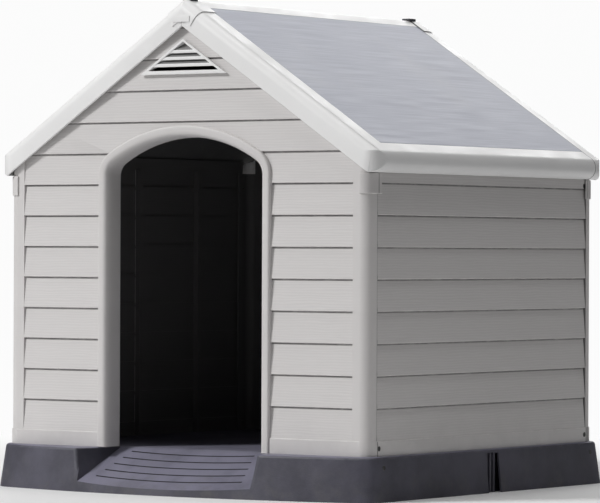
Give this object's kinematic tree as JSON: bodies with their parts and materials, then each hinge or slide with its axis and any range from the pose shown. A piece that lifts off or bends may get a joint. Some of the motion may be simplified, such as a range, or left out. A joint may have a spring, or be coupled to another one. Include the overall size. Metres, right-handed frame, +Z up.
{
  "type": "outdoor kennel cabin",
  "caption": "Gable-roofed moulded-resin outdoor animal kennel with lap-siding walls, an arched open doorway, a ramp moulded into its dark base and louvred gable vents.",
  "frame": {"origin": "bottom centre of the whole object, on the surface that it stands on", "axes": "+Z up, the doorway faces -Y, +X to the right of someone who looks along +Y at the doorway"},
  "size_m": [0.942, 0.95, 0.9882],
  "materials": {
    "siding": "wood-grain embossed resin",
    "trim": "smooth satin resin",
    "roof_panel": "fine-lined resin",
    "base": "pebbled dark resin",
    "clip": "satin dark resin",
    "screw": "black coated"
  },
  "bodies": {
    "root": {"base_front": "base", "base_rear": "base", "base_lock_left": "base", "base_lock_right": "base", "front_wall": "siding", "rear_wall": "siding", "left_wall": "siding", "right_wall": "siding", "collar_front_left": "siding", "collar_front_right": "siding", "collar_rear_left": "siding", "collar_rear_right": "siding", "roof_frame_left": "trim", "roof_frame_right": "trim", "roof_panel_left": "roof_panel", "roof_panel_right": "roof_panel", "rear_rake_left": "trim", "rear_rake_right": "trim", "ridge_strip_cap": "trim", "apex_cap_front": "trim", "apex_cap_rear": "trim", "ridge_clip_front": "clip", "ridge_clip_rear": "clip", "front_vent": "trim", "rear_vent": "trim", "badge_plate": "trim", "wall_screws": "screw", "base_screws": "screw", "rake_screws": "screw"}
  },
  "joints": []
}
